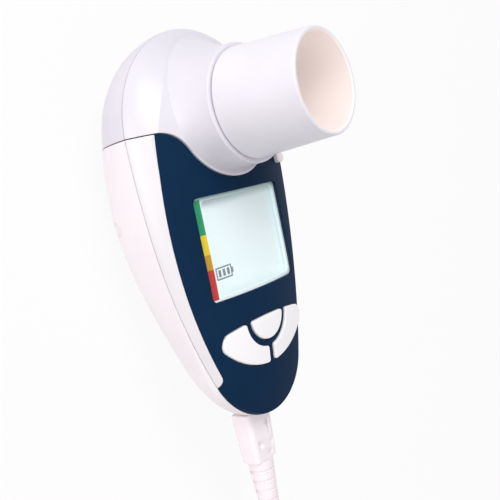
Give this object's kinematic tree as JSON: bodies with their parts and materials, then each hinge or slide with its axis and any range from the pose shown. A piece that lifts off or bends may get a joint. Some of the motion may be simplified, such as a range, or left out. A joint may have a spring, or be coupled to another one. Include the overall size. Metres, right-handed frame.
{
  "type": "peak flow meter",
  "caption": "Hand-held electronic peak flow meter with a pull-out mouthpiece tube, turbine head, display, keys and a plug-in data lead with its tied coil.",
  "frame": {"origin": "centre of the meter's bounding box, lead left out, on the plane that its back rests on", "axes": "+X to the right across the keys, +Y along the meter towards the head, +Z out of the mouthpiece"},
  "size_m": [0.0604, 0.3142, 0.0728],
  "materials": {
    "cover_white": "fine matt",
    "head_white": "fine matt",
    "panel_navy": "satin",
    "window_clear": "clear",
    "zone_print": "printed in four colours",
    "key_grey": "satin",
    "tube_ivory": "fine matt",
    "lens_glass": "display glass",
    "board_green": "solder mask",
    "chip_black": "moulded",
    "clear_plastic": "moulded",
    "rotor_white": "thin moulding",
    "steel": "plated",
    "brass_plate": "plated",
    "cell_foil": "plain sleeve",
    "jewel": "polished",
    "rubber_dark": "matt",
    "seal_grey": "soft",
    "plug_warm": "soft moulding",
    "cord_warm": "smooth sheath",
    "tie_black": "woven strap"
  },
  "bodies": {
    "handset": {"front_cover": "cover_white", "rear_cover": "cover_white", "front_panel": "panel_navy", "zone_strip": "zone_print", "display_window": "window_clear", "display_glass": "lens_glass", "display_carrier": "cover_white", "display_connector": "seal_grey", "main_board": "board_green", "board_chips": "chip_black", "switch_domes": "steel", "beeper": "chip_black", "data_socket": "steel", "sensor_emitter": "clear_plastic", "sensor_detector": "rubber_dark", "battery_cells": "cell_foil", "cell_contacts": "brass_plate", "case_screws": "steel"},
    "battery_lid": {"battery_door": "cover_white"},
    "left_key": {"key_left": "key_grey"},
    "middle_key": {"key_centre": "key_grey"},
    "right_key": {"key_right": "key_grey"},
    "small_button": {"side_button": "key_grey"},
    "head": {"head_front": "head_white", "head_rear": "head_white", "head_screws": "steel", "turbine_tube": "tube_ivory", "swirl_stator": "rotor_white", "rear_spider": "rotor_white", "front_bearing": "jewel", "rear_bearing": "jewel", "neck_seal": "seal_grey"},
    "rotor": {"rotor_spindle": "steel", "rotor_vane": "rotor_white"},
    "mouthpiece": {"mouthpiece_tube": "tube_ivory"},
    "lead": {"plug_housing": "plug_warm", "plug_shell": "steel", "strain_relief": "plug_warm", "lead_cord": "cord_warm", "lead_tail": "cord_warm", "lead_coil": "cord_warm", "lead_tie": "tie_black", "far_plug_housing": "plug_warm", "far_plug_shell": "steel", "far_plug_tongue": "plug_warm"}
  },
  "joints": [
    {"name": "rotor_spin", "type": "hinge", "parent": "head", "child": "rotor", "pos_m": [0, 0.03143, 0.024], "axis": [0, 0, 1], "continuous": true},
    {"name": "mouthpiece_pull", "type": "slide", "parent": "head", "child": "mouthpiece", "axis": [0, 0, 1], "range_m": [0, 0.012]},
    {"name": "head_pull", "type": "slide", "parent": "handset", "child": "head", "axis": [0, 1, 0], "range_m": [0, 0.025]},
    {"name": "battery_lid_slide", "type": "slide", "parent": "handset", "child": "battery_lid", "axis": [0, -1, 0], "range_m": [0, 0.012]},
    {"name": "left_key_press", "type": "slide", "parent": "handset", "child": "left_key", "axis": [0, 0, -1], "range_m": [0, 0.0005], "stiffness_N_per_m": 500},
    {"name": "middle_key_press", "type": "slide", "parent": "handset", "child": "middle_key", "axis": [0, 0, -1], "range_m": [0, 0.0005], "stiffness_N_per_m": 500},
    {"name": "right_key_press", "type": "slide", "parent": "handset", "child": "right_key", "axis": [0, 0, -1], "range_m": [0, 0.0005], "stiffness_N_per_m": 500},
    {"name": "small_button_press", "type": "slide", "parent": "handset", "child": "small_button", "axis": [0, 0, -1], "range_m": [0, 0.0005], "stiffness_N_per_m": 500},
    {"name": "plug_pull", "type": "slide", "parent": "handset", "child": "lead", "axis": [0, -1, 0], "range_m": [0, 0.012]}
  ]
}
